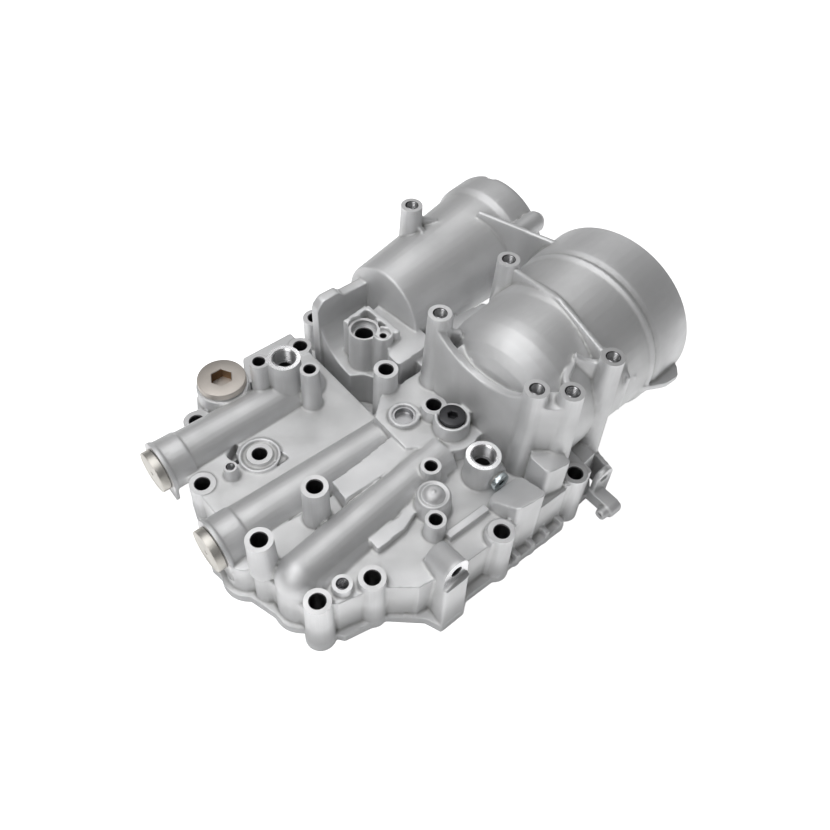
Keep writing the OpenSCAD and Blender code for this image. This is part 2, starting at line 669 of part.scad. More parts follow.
module housing() {
    color([0.72, 0.73, 0.74]) difference() {
        housing_solid();
        gallery_bore(relief_at);
        gallery_bore(bypass_at);
        along_bowl(big_start) big_hollow();
        along_bowl(small_start) small_hollow();
        for (p = concat(m10_columns, m10_plate_holes)) drilled(p, p[2], bolt_d, p[2] + past);
        for (p = m8_columns) drilled(p, p[2], small_bolt_d, p[2] + past);
        for (p = posts) drilled(p, post_z, post_hole_d, post_hole_h);
        drilled(port_a, machined_z, port_d, port_l);
        drilled(port_a, machined_z, port_d - 4, machined_z - gallery_z);
        drilled(port_b, port_b_z, port_d, port_l);
        drilled(port_b, port_b_z, port_d - 4, 34);
        drilled(stud_at, stud_at[2], stud_hole_d, 12);
        drilled(tap_column_at, tap_column_at[2], tap_hole_d, 20);
        drilled(counterbore_at, machined_z, counterbore_d, 6);
        drilled(counterbore_at, machined_z, counterbore_d - 6.5, 34);
        drilled(lobe_at, machined_z, stud_hole_d, 16);
        drilled(plate_bolt_at, plate_z, bolt_d, plate_z + past);
        large_plug_bore();
        black_plug_bore();
        side_plug_bore();
        core_plug_bore();
        chambers();
        oil_ports();
        translate([pad_at[0], pad_at[1] + 16, pad_at[2]]) rotate([90, 0, 0])
            cylinder(d = pad_hole_d, h = 16 + past);
        translate([pad_at[0] - 14, pad_at[1] - 20, pad_at[2] - 12]) cube([28, 20, 30]);
        plate_pockets();
        rim_notch();
    }
}

// Deep slot and shallow pocket in the cover plate, beside the ringed bolt hole
module plate_pockets() {
    slot_h = 12;
    pocket_h = 2.5;
    translate([0, 0, plate_z - slot_h]) linear_extrude(slot_h + past)
        polygon([[-83, 46], [-81, 36], [-78.6, 33], [-76, 44], [-70, 49], [-72, 52]]);
    translate([0, 0, plate_z - pocket_h]) linear_extrude(pocket_h + past)
        polygon([[-49, 29], [-46, 15], [-60, 13.5], [-57, 17.5], [-51, 21]]);
}

// Notch in the small bowl's rim that keys its cap
module rim_notch() {
    w = 8;
    h = 2.4;
    along_bowl(small_start) rotate([0, 0, notch_turn])
        translate([-small_mouth_r - 3, -w / 2, small_l - h]) cube([11, w, h + past]);
}

module large_plug_bore() {
    drilled(large_plug_at, large_plug_seat, large_plug_thread + 2 * fit, large_plug_l + 4);
}

module black_plug_bore() {
    drilled(black_plug_at, black_plug_seat, black_plug_thread + 2 * fit, black_plug_l + 2);
    drilled(black_plug_at, black_plug_seat + 3, black_plug_d + 1.2, 3);
}

module side_plug_bore() {
    depth = side_plug_l + 6;
    translate([side_plug_at[0], side_plug_at[1] + depth, side_plug_at[2]]) rotate([90, 0, 0])
        cylinder(r = side_plug_thread / 2 + fit, h = depth + past);
    translate(side_plug_at) rotate([90, 0, 0]) cylinder(r = side_plug_d / 2 + 1.5, h = 8);
}

module core_plug_bore() {
    drilled(core_plug_at, core_plug_z, core_plug_d + 2 * fit, core_plug_h + 2);
}

// Inner pieces of a gallery, from its mouth inwards: end plug with ring, spring, piston on its seat
seat_from_mouth = gallery_l - seat_l;
spring_from_mouth = end_plug_l;
spring_l = seat_from_mouth - piston_wall * 2 - end_plug_l;

module valve_seat(at) {
    translate([at[0] + gallery_l - 0.05, at[1], gallery_z]) rotate([0, -90, 0]) rotate_extrude()
        polygon([[passage_d / 2 - 1, 0], [gallery_r - fit - 0.8, 0], [gallery_r - fit, 0.8],
            [gallery_r - fit, seat_l - 0.1], [passage_d / 2, seat_l - 0.1],
            [passage_d / 2 - 1, seat_l - 1.1]]);
}

module valve_piston(at) {
    r = gallery_r - valve_clear;
    translate([at[0] + seat_from_mouth, at[1], gallery_z]) rotate([0, -90, 0])
        rotate_extrude() difference() {
            translate([0, 0.05]) polygon([[0, 0], [r - 2, 0], [r, 2], [r, piston_l], [0, piston_l]]);
            translate([-past, piston_wall * 2]) square([r - piston_wall + past, piston_l]);
        }
}

// Point on the spring's helix at turn t, and the ring of wire around it
function coil(t, a, rc, rw, pitch) = let (u = 360 * t)
    [(rc + rw * cos(a)) * cos(u), (rc + rw * cos(a)) * sin(u), pitch * t + rw * sin(a)];

module valve_spring(at) {
    steps = 16;
    sides = 8;
    rw = spring_wire / 2;
    rc = gallery_r - piston_wall - rw - 0.8;
    n = spring_turns * steps;
    pitch = (spring_l - spring_wire - 0.2) / spring_turns;
    points = [for (i = [0:n]) for (k = [0:sides - 1]) coil(i / steps, 360 * k / sides, rc, rw, pitch)];
    skin = [for (i = [0:n - 1]) for (k = [0:sides - 1]) let (j = (k + 1) % sides)
        [i * sides + k, (i + 1) * sides + k, (i + 1) * sides + j, i * sides + j]];
    ends = [[for (k = [0:sides - 1]) k], [for (k = [sides - 1:-1:0]) n * sides + k]];
    translate([at[0] + spring_from_mouth + rw + 0.1, at[1], gallery_z]) rotate([0, 90, 0])
        polyhedron(points, concat(skin, ends), convexity = 8);
}

module end_plug(at) {
    r = gallery_r - fit;
    translate([at[0], at[1], gallery_z]) rotate([0, 90, 0]) difference() {
        rotate_extrude() polygon([[0, -end_plug_head], [end_plug_d / 2 - 0.8, -end_plug_head],
            [end_plug_d / 2, -end_plug_head + 0.8], [end_plug_d / 2, 0], [r, 0], [r, 5], [r - 2, 5],
            [r - 2, 9], [r, 9], [r, end_plug_l - 1], [r - 1, end_plug_l], [0, end_plug_l]]);
        translate([0, 0, -end_plug_head - past]) cylinder(d = 2.4, h = 5);
    }
}

module plug_ring(at) {
    translate([at[0] + 7, at[1], gallery_z]) rotate([0, 90, 0])
        rotate_extrude() translate([gallery_r - 1.05, 0]) circle(d = 1.9, $fn = 24);
}

module relief_valve_piston() { color([0.62, 0.63, 0.65]) valve_piston(relief_at); }
module relief_valve_spring() { color([0.35, 0.36, 0.38]) valve_spring(relief_at); }
module relief_valve_seat() { color([0.55, 0.55, 0.57]) valve_seat(relief_at); }
module relief_end_plug() { color([0.66, 0.64, 0.60]) end_plug(relief_at); }
module relief_plug_ring() { color([0.08, 0.08, 0.08]) plug_ring(relief_at); }
module bypass_valve_piston() { color([0.62, 0.63, 0.65]) valve_piston(bypass_at); }
module bypass_valve_spring() { color([0.35, 0.36, 0.38]) valve_spring(bypass_at); }
module bypass_valve_seat() { color([0.55, 0.55, 0.57]) valve_seat(bypass_at); }
module bypass_end_plug() { color([0.66, 0.64, 0.60]) end_plug(bypass_at); }
module bypass_plug_ring() { color([0.08, 0.08, 0.08]) plug_ring(bypass_at); }

// Hexagon socket of a screw plug, down from its top
module socket(key, top, depth) {
    translate([0, 0, top - depth]) cylinder(r = key / sqrt(3), h = depth + past, $fn = 6);
}

// Flat ring between a plug's head and its seat
module seal(inner, outer, t) {
    rotate_extrude() translate([inner, 0]) square([outer - inner, t]);
}

module large_screw_plug() {
    r = large_plug_d / 2;
    shank = large_plug_thread / 2;
    top = seal_t + large_plug_head;
    color([0.72, 0.68, 0.62]) translate([large_plug_at[0], large_plug_at[1], large_plug_seat]) difference() {
        rotate_extrude() polygon([[0, -large_plug_l], [shank - 1, -large_plug_l], [shank, 1 - large_plug_l],
            [shank, seal_t], [r, seal_t], [r, top - 1], [r - 1, top], [0, top]]);
        socket(large_plug_key, top, 10);
    }
}

module large_plug_seal() {
    color([0.75, 0.45, 0.30]) translate([large_plug_at[0], large_plug_at[1], large_plug_seat])
        seal(large_plug_thread / 2 + 0.1, large_plug_d / 2 - 0.6, seal_t);
}

module black_screw_plug() {
    r = black_plug_d / 2;
    shank = black_plug_thread / 2;
    top = seal_t + black_plug_head;
    color([0.10, 0.10, 0.11]) translate([black_plug_at[0], black_plug_at[1], black_plug_seat]) difference() {
        rotate_extrude() polygon([[0, -black_plug_l], [shank - 1, -black_plug_l], [shank, 1 - black_plug_l],
            [shank, seal_t], [r, seal_t], [r, top - 0.8], [r - 0.8, top], [0, top]]);
        socket(black_plug_key, top, 6);
    }
}

module black_plug_seal() {
    color([0.75, 0.45, 0.30]) translate([black_plug_at[0], black_plug_at[1], black_plug_seat])
        seal(black_plug_thread / 2 + 0.1, black_plug_d / 2 - 0.4, seal_t);
}

module side_screw_plug() {
    r = side_plug_d / 2;
    shank = side_plug_thread / 2;
    top = seal_t + side_plug_head;
    color([0.66, 0.72, 0.74]) translate(side_plug_at) rotate([90, 0, 0]) difference() {
        rotate_extrude() polygon([[0, -side_plug_l], [shank - 0.8, -side_plug_l], [shank, 0.8 - side_plug_l],
            [shank, seal_t], [r, seal_t], [r, top - 0.6], [r - 0.6, top], [0, top]]);
        socket(side_plug_key, top, 5);
    }
}

module side_plug_seal() {
    color([0.75, 0.45, 0.30]) translate(side_plug_at) rotate([90, 0, 0])
        seal(side_plug_thread / 2 + 0.1, side_plug_d / 2 - 0.4, seal_t);
}

module core_plug() {
    r = core_plug_d / 2;
    h = core_plug_h;
    color([0.86, 0.87, 0.88]) translate([core_plug_at[0], core_plug_at[1], core_plug_z - core_plug_h - 1.9])
        rotate_extrude() polygon([[0, 0], [r - 1.5, 0], [r, 1.5], [r, h], [r - 1.6, h], [r - 1.6, 2.6],
            [r - 2.6, 1.6], [0, 1.6]]);
}

housing();
relief_valve_seat();
relief_valve_piston();
relief_valve_spring();
relief_end_plug();
relief_plug_ring();
bypass_valve_seat();
bypass_valve_piston();
bypass_valve_spring();
bypass_end_plug();
bypass_plug_ring();
large_screw_plug();
large_plug_seal();
black_screw_plug();
black_plug_seal();
side_screw_plug();
side_plug_seal();
core_plug();
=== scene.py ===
"""Looks of the oil filter housing: the casting with its fillets and machined faces, its threads, plugs and
valves."""

import math

import bmesh
import bpy
import numpy as np
from mathutils import Matrix, Vector


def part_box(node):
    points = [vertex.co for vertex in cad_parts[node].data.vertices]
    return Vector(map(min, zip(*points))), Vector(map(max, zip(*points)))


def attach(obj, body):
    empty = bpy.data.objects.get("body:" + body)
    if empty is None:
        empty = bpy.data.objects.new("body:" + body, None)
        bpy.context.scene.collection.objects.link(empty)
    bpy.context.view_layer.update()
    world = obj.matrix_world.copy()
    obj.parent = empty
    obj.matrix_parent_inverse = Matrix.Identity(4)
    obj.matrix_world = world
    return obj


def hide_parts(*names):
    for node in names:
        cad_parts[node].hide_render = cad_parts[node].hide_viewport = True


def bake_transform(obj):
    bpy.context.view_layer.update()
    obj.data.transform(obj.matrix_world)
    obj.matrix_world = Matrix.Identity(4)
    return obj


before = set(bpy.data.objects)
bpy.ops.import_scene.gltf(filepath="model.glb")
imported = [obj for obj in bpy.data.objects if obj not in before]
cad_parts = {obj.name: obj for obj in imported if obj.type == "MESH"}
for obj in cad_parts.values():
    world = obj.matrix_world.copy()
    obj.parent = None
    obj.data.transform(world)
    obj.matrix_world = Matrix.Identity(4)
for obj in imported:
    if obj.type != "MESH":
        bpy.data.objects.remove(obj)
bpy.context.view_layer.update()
MM = 0.001

# Levels and places of the machined faces, in millimetres, as in the part's source
POST_Z = 138
TRIM = 1.0  # how far a head's cut reaches past its radius
COLUMNS = [  # x, y, top, radius of the head, radius of the bore
    (-114.3, -54.4, 82, 9.75, 5.5), (-62.3, -45.3, 86, 9.75, 5.5), (-103.9, -103.5, 56, 9.75, 5.5),
    (-64.7, -112.8, 56, 9.75, 5.5), (29.7, -142, 56, 9.75, 5.5), (46.8, 11.4, 82, 9.75, 5.5),
    (110.6, -139.2, 53, 9.75, 5.5), (57.5, -34, 74, 9.75, 5.5), (21.3, -73.3, 68, 7.75, 4.4),
    (-6, -110, 68, 7.75, 4.4), (-26.5, 78.8, 82, 7.75, 4.4), (0, 48, 82, 7.75, 4.4),
    (-111, 34.8, 41, 10, 5.5), (-62.8, 30, 43, 10, 5.5), (28.8, 106.1, 40.6, 9.5, 5.5),
    (-83, 90, 40, 10.5, 5.5), (59, 127, 40, 10, 5.5)]
POSTS = [(145.7, 101.4), (80.9, -8.4), (163.2, 3.7), (149.8, -117.1), (85.1, -104.5), (102.8, -121.4)]
RELIEF_AT = (-128, 68.5)
BYPASS_AT = (-132, -15.5)
GALLERY_Z = 38
BOWL_TURN = math.radians(6.5)
BOWL_DIR = np.array([math.cos(BOWL_TURN), math.sin(BOWL_TURN), 0])
BIG_START = np.array([201 - 116 * math.cos(BOWL_TURN), -51 - 116 * math.sin(BOWL_TURN), 75])
SMALL_START = np.array([90.979, 71.030, 75])
BIG_L = 162
SMALL_L = 150
PORTS = [(-9.1, 69.9, 82, 12.6), (54.3, -93.8, 75, 13.25)]  # x, y, top, radius of the ring
PORT_DEPTH = 12
PAD_AT = (-18.5, -147, 60)
PAD_HALF = 14.5
DOME_AT = (7, -93)
CUP_AT = (60, 56.3)  # bored cup in the cradle, and the stud beside it
CUP_STUD_AT = (67.6, 41)
PLATE_STUD_AT = (-89.3, 27.6)
TAPPED_STUD_AT = (-83, -103.2)
POST_R = 9
POST_BORE = 5.05
UP = (0, 0, 1)
BODY = "housing_body"
ALUMINIUM = "cast_aluminium"

STOCK = 3.0  # height of the machining stock
VOXEL = 1.0
SMOOTHINGS = 4
CAST_TRIANGLES = 172000
# The last of these finishes is painted shade: the near black inside of the bores.
SKIN, CUT, BRIGHT, HOLE_SHADE = range(4)  # finishes of the casting, in the order of its materials
FLAT = 0.03  # how near a face's centre lies to the plane it was cut in


# ---------- meshes ----------

def new_object(name, verts, faces):
    """A smooth mesh object at the origin, from points in millimetres and their faces."""
    me = bpy.data.meshes.new(name)
    me.from_pydata((np.asarray(verts) * MM).tolist(), [], [list(map(int, f)) for f in faces])
    me.validate()
    me.shade_smooth()
    obj = bpy.data.objects.new(name, me)
    bpy.context.scene.collection.objects.link(obj)
    return obj


def grid_faces(rows, cols):
    """Quads between the points of a rows by cols grid whose columns run round."""
    r, c = np.meshgrid(np.arange(rows - 1), np.arange(cols), indexing="ij")
    a = (r * cols + c).ravel()
    b = (r * cols + (c + 1) % cols).ravel()
    return np.stack([a, b, b + cols, a + cols], 1)


def tube_faces(rows, cols):
    """The faces of a closed tube: the grid's quads and its two end polygons."""
    faces = [list(f) for f in grid_faces(rows, cols)]
    return faces + [list(range(cols))[::-1], list(range((rows - 1) * cols, rows * cols))]


def frame_of(axis):
    """Two unit vectors across an axis, and the axis itself."""
    w = np.asarray(axis, float) / np.linalg.norm(axis)
    u = np.cross([0, 1, 0], w) if abs(w[1]) < 0.9 else np.cross([1, 0, 0], w)
    u /= np.linalg.norm(u)
    return u, np.cross(w, u), w


def revolve(name, at, axis, rings, steps=64):
    """Rings (r, h) turned about an axis: point = at + r (u cos t + v sin t) + h w. A ring may give a function
    of t for its radius, which makes hexagons."""
    t = np.arange(steps) / steps * 2 * math.pi
    u, v, w = frame_of(axis)
    pts = []
    for r, h in rings:
        radius = r(t) if callable(r) else np.full(steps, float(r))
        pts.append(np.asarray(at) + radius[:, None] * (np.cos(t)[:, None] * u + np.sin(t)[:, None] * v) + h * w)
    obj = new_object(name, np.concatenate(pts), tube_faces(len(rings), steps))
    outward(obj)
    return obj


def outward(obj):
    """Merge doubles and turn every face of a closed mesh outwards."""
    bm = bmesh.new()
    bm.from_mesh(obj.data)
    bmesh.ops.remove_doubles(bm, verts=bm.verts, dist=1e-7)
    bmesh.ops.recalc_face_normals(bm, faces=bm.faces)
    bm.to_mesh(obj.data)
    bm.free()


def hexagon(key):
    """Radius of a hexagon of a key width at angle t: r = (key / 2) / cos((t mod 60) - 30)."""
    return lambda t: key / 2 / np.cos(np.mod(t, math.pi / 3) - math.pi / 6)


def join(objs, name):
    """One object that holds the meshes of several."""
    bm = bmesh.new()
    for o in objs:
        bm.from_mesh(o.data)
        bpy.data.objects.remove(o)
    me = bpy.data.meshes.new(name)
    bm.to_mesh(me)
    bm.free()
    obj = bpy.data.objects.new(name, me)
    bpy.context.scene.collection.objects.link(obj)
    return obj


def apply_modifiers(obj):
    """Replace an object's mesh by what its modifiers make of it."""
    graph = bpy.context.evaluated_depsgraph_get()
    me = bpy.data.meshes.new_from_object(obj.evaluated_get(graph))
    obj.modifiers.clear()
    old = obj.data
    obj.data = me
    bpy.data.meshes.remove(old)


def read(items, what):
    """A vector that every point or face of a mesh has, as an array of rows."""
    out = np.empty(len(items) * 3)
    items.foreach_get(what, out)
    return out.reshape(-1, 3)


def coordinates(me):
    """The mesh's points as an array, in millimetres."""
    return read(me.vertices, "co") / MM


def set_coordinates(me, co):
    """Move the mesh's points to those of an array, in millimetres."""
    me.vertices.foreach_set("co", (co * MM).ravel())
    me.update()


# ---------- the casting ----------

def along(points, start):
    """Distance along a bowl's axis and away from it."""
    d = points - start
    s = d @ BOWL_DIR
    return s, np.linalg.norm(d - s[:, None] * BOWL_DIR, axis=1)


def add_stock(me):
    """Machining stock: the flange face, the bowls' rims and the galleries' mouths are moved out, so that the
    later cut leaves them flat and sharp."""
    co = coordinates(me)
    for start, length, low, high in ((BIG_START, BIG_L, 60, 80), (SMALL_START, SMALL_L, 40, 56)):
        s, r = along(co, start)
        co[(abs(s - length) < 0.1) & (r > low) & (r < high)] += STOCK * BOWL_DIR
    for x, y in (RELIEF_AT, BYPASS_AT):
        co[(abs(co[:, 0] - x) < 0.1) & (np.hypot(co[:, 1] - y, co[:, 2] - GALLERY_Z) < 27), 0] -= STOCK
    x, y, z = PAD_AT
    on_pad = (abs(co[:, 1] - y) < 0.05) & (abs(co[:, 0] - x) < 15) & (co[:, 2] > z - 12.1) & (co[:, 2] < z + 19)
    co[on_pad, 1] -= STOCK
    co[abs(co[:, 2]) < 0.05, 2] -= STOCK
    set_coordinates(me, co)


def column_stock():
    """Cylinders that fill every bore and stand over every machined head."""
    rods = []
    for x, y, top, r, bore in COLUMNS:
        rods += [((x, y), bore + 0.5, -2.5, top - 5, 24), ((x, y), r, top - 6, top + STOCK, 32)]
    for at in POSTS:
        rods += [(at, 4.8, POST_Z - 22.5, POST_Z - 4, 24), (at, POST_R, POST_Z - 5, POST_Z + STOCK, 32)]
    for x, y, top, _ in PORTS:
        rods.append(((x, y), 13.25, top - PORT_DEPTH - 1, top + STOCK, 40))
    studs = [(CUP_AT, 12.5, 75, 85, 40), (CUP_STUD_AT, 8.5, 66, 85, 32), (PLATE_STUD_AT, 5.25, 40, 55, 32),
             (TAPPED_STUD_AT, 7.25, 34, 58, 32)]
    out = [revolve("stock", (*at, 0), UP, [(r, low), (r, high)], steps) for at, r, low, high, steps in rods]
    out.append(revolve("stock", PAD_AT, (0, -1, 0), [(4.35, -16.5), (4.35, -1)], 24))
    return out + [revolve("stock", (*at, 0), UP, [(r, low), (r, high)], steps) for at, r, low, high, steps in studs]


def head_cut(x, y, top, r, bore, bottom=-8.0, chamfer=0.7):
    """The solid a column's machining takes away: its bore, a chamfer, and everything over its flat head."""
    rings = [(bore, bottom), (bore, top - chamfer), (bore + chamfer, top), (r + TRIM, top), (r + TRIM, top + 9)]
    return revolve("cut", (x, y, 0), UP, rings, 64)


def machining():
    """The machined heads, as sets of closed solids in which none touches another of its set."""
    through = [head_cut(*c) for c in COLUMNS]
    through += [head_cut(*at, POST_Z, POST_R, POST_BORE, POST_Z - 20, 0.5) for at in POSTS]
    port_bore = [(6.2, -PORT_DEPTH - 3), (6.2, -PORT_DEPTH), (9.1, -PORT_DEPTH), (9.1, -0.9), (10, 0)]
    ports = [revolve("cut", (x, y, top), UP, port_bore + [(r + TRIM, 0), (r + TRIM, 9)], 64)
             for x, y, top, r in PORTS]
    cup = [(7, 48), (7, 75.4), (7.6, 76), (10.25, 76), (10.25, 81.5), (10.75, 82), (13.1, 82), (13.1, 91)]
    ports += [revolve("cut", (*CUP_AT, 0), UP, cup, 64), head_cut(*TAPPED_STUD_AT, 55, 7.25, 4.05, 36, 0.5)]
    small = [head_cut(*CUP_STUD_AT, 82, 5.1, 2.5, 66, 0.5), head_cut(*PLATE_STUD_AT, 52, 5.25, 3.05, 40, 0.4),
             revolve("cut", PAD_AT, (0, -1, 0), [(4.3, -10), (4.3, -0.5), (4.9, 0.1), (4.9, 6)], 40),
             revolve("cut", (*DOME_AT, 0), UP, [(13.8, 65.8), (13.8, 80)], 64)]
    return through, ports, small


def far_cuts():
    """The flange face, the bowls' rims and mouths, and the faces of the galleries' mouths."""
    out = [revolve("cut", BIG_START, BOWL_DIR, [(60, BIG_L - 12), (70, BIG_L - 12), (70, BIG_L - 0.8),
                                               (70.8, BIG_L), (84, BIG_L), (84, BIG_L + 9)], 128),
           revolve("cut", SMALL_START, BOWL_DIR, [(40, SMALL_L - 24), (47, SMALL_L - 24), (47, SMALL_L - 0.8),
                                                 (47.8, SMALL_L), (56, SMALL_L), (56, SMALL_L + 9)], 128)]
    mouth = [(15, -16), (15, -0.5), (15.5, 0), (29, 0), (29, 9)]
    out += [revolve("cut", (*at, GALLERY_Z), (-1, 0, 0), mouth, 64) for at in (RELIEF_AT, BYPASS_AT)]
    x, y, z = PAD_AT
    return out + [block((-160, 290), (-190, 160), (-9, 0)),
                  block((x - PAD_HALF, x + PAD_HALF), (y - 20, y), (z - 12, z + 19))]


def block(xs, ys, zs):
    """A cutter's plain box between two values along each axis."""
    corners = [(x, y, z) for x in xs for y in ys for z in zs]
    faces = [(0, 1, 3, 2), (4, 6, 7, 5), (0, 4, 5, 1), (2, 3, 7, 6), (0, 2, 6, 4), (1, 5, 7, 3)]
    box = new_object("cut", corners, faces)
    outward(box)
    return box


def subtract(obj, cutters):
    """Take one mesh of separate closed solids away from an object."""
    tool = join(cutters, "tool")
    cut = obj.modifiers.new("cut", "BOOLEAN")
    cut.operation = "DIFFERENCE"
    cut.solver = "MANIFOLD"
    cut.object = tool
    apply_modifiers(obj)
    bpy.data.objects.remove(tool)


def cast_body():
    """The casting: the CAD solid with stock, remeshed and smoothed until its corners are cast fillets, then
    machined."""
    copy = bpy.data.objects.new("casting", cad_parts["housing"].data.copy())
    bpy.context.scene.collection.objects.link(copy)
    outward(copy)
    add_stock(copy.data)
    body = join([copy] + column_stock(), "casting")
    remesh = body.modifiers.new("remesh", "REMESH")
    remesh.mode = "VOXEL"
    remesh.voxel_size = VOXEL * MM
    smooth = body.modifiers.new("smooth", "SMOOTH")
    smooth.factor = 0.5
    smooth.iterations = SMOOTHINGS
    apply_modifiers(body)
    count = sum(len(p.vertices) - 2 for p in body.data.polygons)
    thin = body.modifiers.new("thin", "DECIMATE")
    thin.ratio = min(1.0, CAST_TRIANGLES / count)
    apply_modifiers(body)
    for cutters in (*machining(), far_cuts()):
        subtract(body, cutters)
    return body


def face_finish(me):
    """The finish of each face, or the painted shade inside a bore, told by its centre and normal."""
    c = read(me.polygons, "center") / MM
    nor = read(me.polygons, "normal")
    finish = np.where((c[:, 2] < 0.02) & (nor[:, 2] < -0.9), CUT, SKIN)
    # x, y, top, radius of the head, radius of the bore, finish on top, finish or painted shade inside, lowest level
    # of the bore
    heads = [(*column, CUT, HOLE_SHADE, 0.1) for column in COLUMNS]
    heads += [(*at, POST_Z, POST_R, POST_BORE, CUT, HOLE_SHADE, POST_Z - 21) for at in POSTS]
    heads += [(x, y, top, r, 9.9, BRIGHT, BRIGHT, top - PORT_DEPTH - 0.1) for x, y, top, r in PORTS]
    heads += [(x, y, top, 5, 6.3, BRIGHT, HOLE_SHADE, top - 30) for x, y, top, _ in PORTS]
    heads += [(*CUP_STUD_AT, 82, 5.1, 2.5, CUT, HOLE_SHADE, 65), (*CUP_AT, 82, 12.5, 10.25, CUT, CUT, 75.9),
              (*CUP_AT, 76, 0, 7.2, CUT, HOLE_SHADE, 47), (*PLATE_STUD_AT, 52, 5.25, 3.05, CUT, HOLE_SHADE, 39),
              (*TAPPED_STUD_AT, 55, 7.25, 4.05, CUT, HOLE_SHADE, 35)]
    for x, y, top, r, bore, on_top, inside, bottom in heads:
        d = np.hypot(c[:, 0] - x, c[:, 1] - y)
        finish[(d < r + TRIM + 0.1) & (abs(c[:, 2] - top) < FLAT) & (nor[:, 2] > 0.9)] = on_top
        # Inside the bore: its finish, or painted shade where the inside is the dark bore colour.
        finish[(d < bore + 0.8) & (c[:, 2] < top - FLAT) & (c[:, 2] > bottom)] = inside
    for start, length, inner, depth in ((BIG_START, BIG_L, 70, 12), (SMALL_START, SMALL_L, 47, 24)):
        s, d = along(c, start)
        finish[(abs(s - length) < FLAT) & (d < 90)] = CUT
        finish[(s > length - depth - 0.1) & (s < length + 0.1) & (d < inner + 0.9)] = CUT
    for x, y in (RELIEF_AT, BYPASS_AT):
        d = np.hypot(c[:, 1] - y, c[:, 2] - GALLERY_Z)
        finish[(d < 30) & (abs(c[:, 0] - x) < FLAT)] = CUT
    x, y, z = PAD_AT
    on_pad = (abs(c[:, 1] - y) < FLAT) & (nor[:, 1] < -0.9) & (abs(c[:, 0] - x) < 15) & (c[:, 2] > z - 12.1)
    finish[on_pad] = BRIGHT
    # The pad's hole: its walls get painted shade.
    finish[(np.hypot(c[:, 0] - x, c[:, 2] - z) < 5.2) & (c[:, 1] > y + 0.05) & (c[:, 1] < y + 10.2)] = HOLE_SHADE
    return finish


def split_materials(obj, *finishes):
    """Cast skin, the machined finishes and the painted shade of the bores on one mesh, with a sharp edge wherever
    they meet.
    """
    me = obj.data
    finish = face_finish(me)
    me.materials.clear()
    for material in finishes:
        me.materials.append(material)
    me.polygons.foreach_set("material_index", finish.astype(np.int32))
    me.shade_smooth()
    bm = bmesh.new()
    bm.from_mesh(me)
    for e in bm.edges:
        if len(e.link_faces) == 2:
            a, b = e.link_faces
            if a.material_index != b.material_index:
                e.smooth = False
            elif a.material_index > 0 and a.normal.dot(b.normal) < 0.85:
                e.smooth = False
    bm.to_mesh(me)
    bm.free()


def mark_painted_shade_and_highlight(me):
    """Point attribute of painted shade and highlight: 0.5 on flat skin, more in a hollow, less on an edge. It is
    the mean cosine between a point's normal and the ways to its neighbours, averaged three times over the
    neighbours."""
    n = len(me.vertices)
    co = coordinates(me)
    nor = read(me.vertices, "normal")
    ends = np.empty(len(me.edges) * 2, np.int32)
    me.edges.foreach_get("vertices", ends)
    a, b = ends.reshape(-1, 2).T
    way = co[b] - co[a]
    way /= np.linalg.norm(way, axis=1)[:, None] + 1e-9
    count = np.maximum(np.bincount(a, minlength=n) + np.bincount(b, minlength=n), 1)
    k = (np.bincount(a, (way * nor[a]).sum(1), n) - np.bincount(b, (way * nor[b]).sum(1), n)) / count
    for _ in range(3):
        k = 0.4 * k + 0.6 * (np.bincount(a, k[b], n) + np.bincount(b, k[a], n)) / count
    mark = me.attributes.new("painted_shade_and_highlight", "FLOAT", "POINT")
    mark.data.foreach_set("value", np.clip(0.5 + 1.6 * k, 0, 1).astype(np.float32))


# ---------- materials ----------

def calculate(nodes, link, operation, *inputs):
    """A Math node's output, from inputs that are sockets or plain numbers."""
    m = nodes.new("ShaderNodeMath")
    m.operation = operation
    for socket, given in zip(m.inputs, inputs):
        if isinstance(given, (int, float)):
            socket.default_value = given
        else:
            link(given, socket)
    return m.outputs[0]


def grain_group():
    """Fine blasted grain: three sizes of noise, given as a height and as a slow tone."""
    g = bpy.data.node_groups.new("blasted_grain", "ShaderNodeTree")
    for name in ("Size", "Depth"):
        g.interface.new_socket(name, in_out="INPUT", socket_type="NodeSocketFloat").default_value = 1.0
    for name in ("Height", "Tone"):
        g.interface.new_socket(name, in_out="OUTPUT", socket_type="NodeSocketFloat")
    n, link = g.nodes, g.links.new
    gin, gout = n.new("NodeGroupInput"), n.new("NodeGroupOutput")
    where = n.new("ShaderNodeTexCoord")
    scaled = n.new("ShaderNodeVectorMath")
    scaled.operation = "SCALE"
    link(where.outputs["Object"], scaled.inputs[0])
    link(gin.outputs["Size"], scaled.inputs["Scale"])
    parts = []
    for scale, detail in ((1700, 3), (620, 2), (30, 4)):
        noise = n.new("ShaderNodeTexNoise")
        noise.inputs["Scale"].default_value = scale
        noise.inputs["Detail"].default_value = detail
        link(scaled.outputs[0], noise.inputs["Vector"])
        parts.append(noise.outputs["Fac"])
    both = calculate(n, link, "MULTIPLY_ADD", parts[1], 0.7, parts[0])
    link(calculate(n, link, "MULTIPLY", both, gin.outputs["Depth"]), gout.inputs["Height"])
    link(parts[2], gout.inputs["Tone"])
    return g


def ramp(nodes, link, source, stops):
    """A colour ramp fed by a value."""
    r = nodes.new("ShaderNodeValToRGB")
    while len(r.color_ramp.elements) < len(stops):
        r.color_ramp.elements.new(0.5)
    for e, (pos, col) in zip(r.color_ramp.elements, stops):
        e.position = pos
        e.color = (*col, 1)
    link(source, r.inputs["Fac"])
    return r.outputs["Color"]


